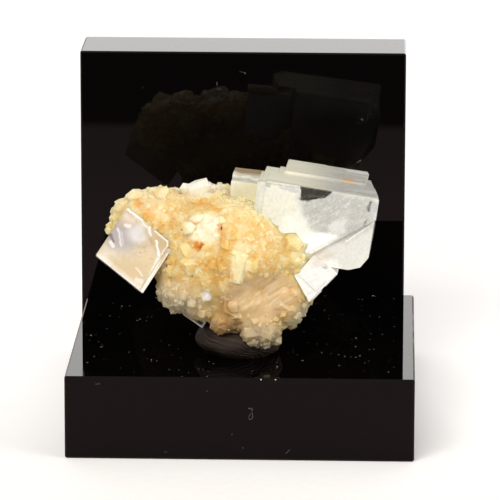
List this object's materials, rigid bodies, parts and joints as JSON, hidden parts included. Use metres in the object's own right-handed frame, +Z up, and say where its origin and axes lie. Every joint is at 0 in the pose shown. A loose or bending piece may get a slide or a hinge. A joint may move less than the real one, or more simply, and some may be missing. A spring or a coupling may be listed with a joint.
{
  "type": "fluorite with quartz on a display stand",
  "caption": "Clear stepped fluorite cubes grown with cream druzy quartz, fixed with putty on a black acrylic block in front of a black acrylic back panel.",
  "frame": {"origin": "middle of the rectangle that the base block and the back panel cover together, at the surface they stand on", "axes": "+Z up, +Y from the front of the stand towards its back panel, +X to the right seen from the front"},
  "size_m": [0.051, 0.0618, 0.0498],
  "materials": {
    "base_acrylic": "polished cast acrylic, black",
    "panel_acrylic": "polished cast acrylic, black",
    "putty": "dark grey modelling putty with finger marks",
    "quartz": "translucent cream quartz druse with rust spots",
    "fluorite_left": "clear fluorite, peach tinge, inner veils",
    "fluorite_right": "clear fluorite with milky zones",
    "fluorite_small": "clear fluorite"
  },
  "bodies": {
    "root": {"base_block": "base_acrylic", "back_panel": "panel_acrylic", "mounting_putty": "putty", "quartz_matrix": "quartz", "fluorite_cube_left": "fluorite_left", "fluorite_cluster_right": "fluorite_right", "fluorite_cube_under": "fluorite_small"}
  },
  "joints": []
}
